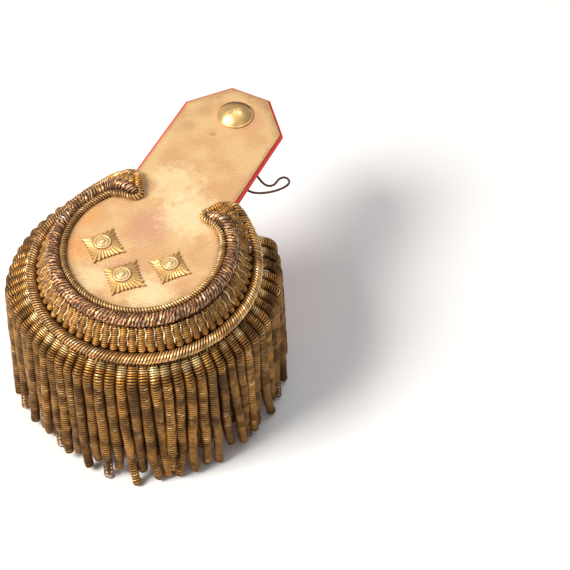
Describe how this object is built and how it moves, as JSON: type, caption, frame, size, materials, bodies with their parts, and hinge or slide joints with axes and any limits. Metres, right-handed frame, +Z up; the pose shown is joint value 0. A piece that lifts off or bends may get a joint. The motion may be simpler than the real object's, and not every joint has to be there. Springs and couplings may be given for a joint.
{
  "type": "epaulette",
  "caption": "Dress uniform epaulette with a lace-covered strap and round field, domed button, embroidered stars, a padded metal-thread crescent and a thick bullion fringe.",
  "frame": {"origin": "on the surface that the epaulette stands on, below the middle of its outline, midway between the fringe's front and the strap's end", "axes": "+Y from the round field towards the strap's end with the button, +X to the right as seen from the fringe's front, +Z up out of the lace"},
  "size_m": [0.1617, 0.2058, 0.1171],
  "materials": {
    "scarlet_cloth": "matt woollen cloth",
    "gold_lace": "fine ribbed metal lace, soft sheen",
    "button_gilt": "polished gilt",
    "star_gilt": "satin gilt embroidery",
    "fine_gimp": "wound wire, satin",
    "tarnished_wire": "tarnished crinkled flat wire",
    "matt_bullion": "matt wire coils",
    "coarse_gimp": "wound wire, satin, dark between the turns",
    "fringe_bullion": "aged wire coils",
    "tie_thread": "dark brown thread"
  },
  "bodies": {
    "root": {"underlay": "scarlet_cloth", "lace": "gold_lace", "button": "button_gilt", "star_1": "star_gilt", "star_2": "star_gilt", "star_3": "star_gilt", "inner_cord": "fine_gimp", "dark_roll": "tarnished_wire", "bar_band": "matt_bullion", "end_bars_left": "matt_bullion", "end_bars_right": "matt_bullion", "outer_cord": "coarse_gimp", "fringe": "fringe_bullion", "tie_loop": "tie_thread"}
  },
  "joints": []
}
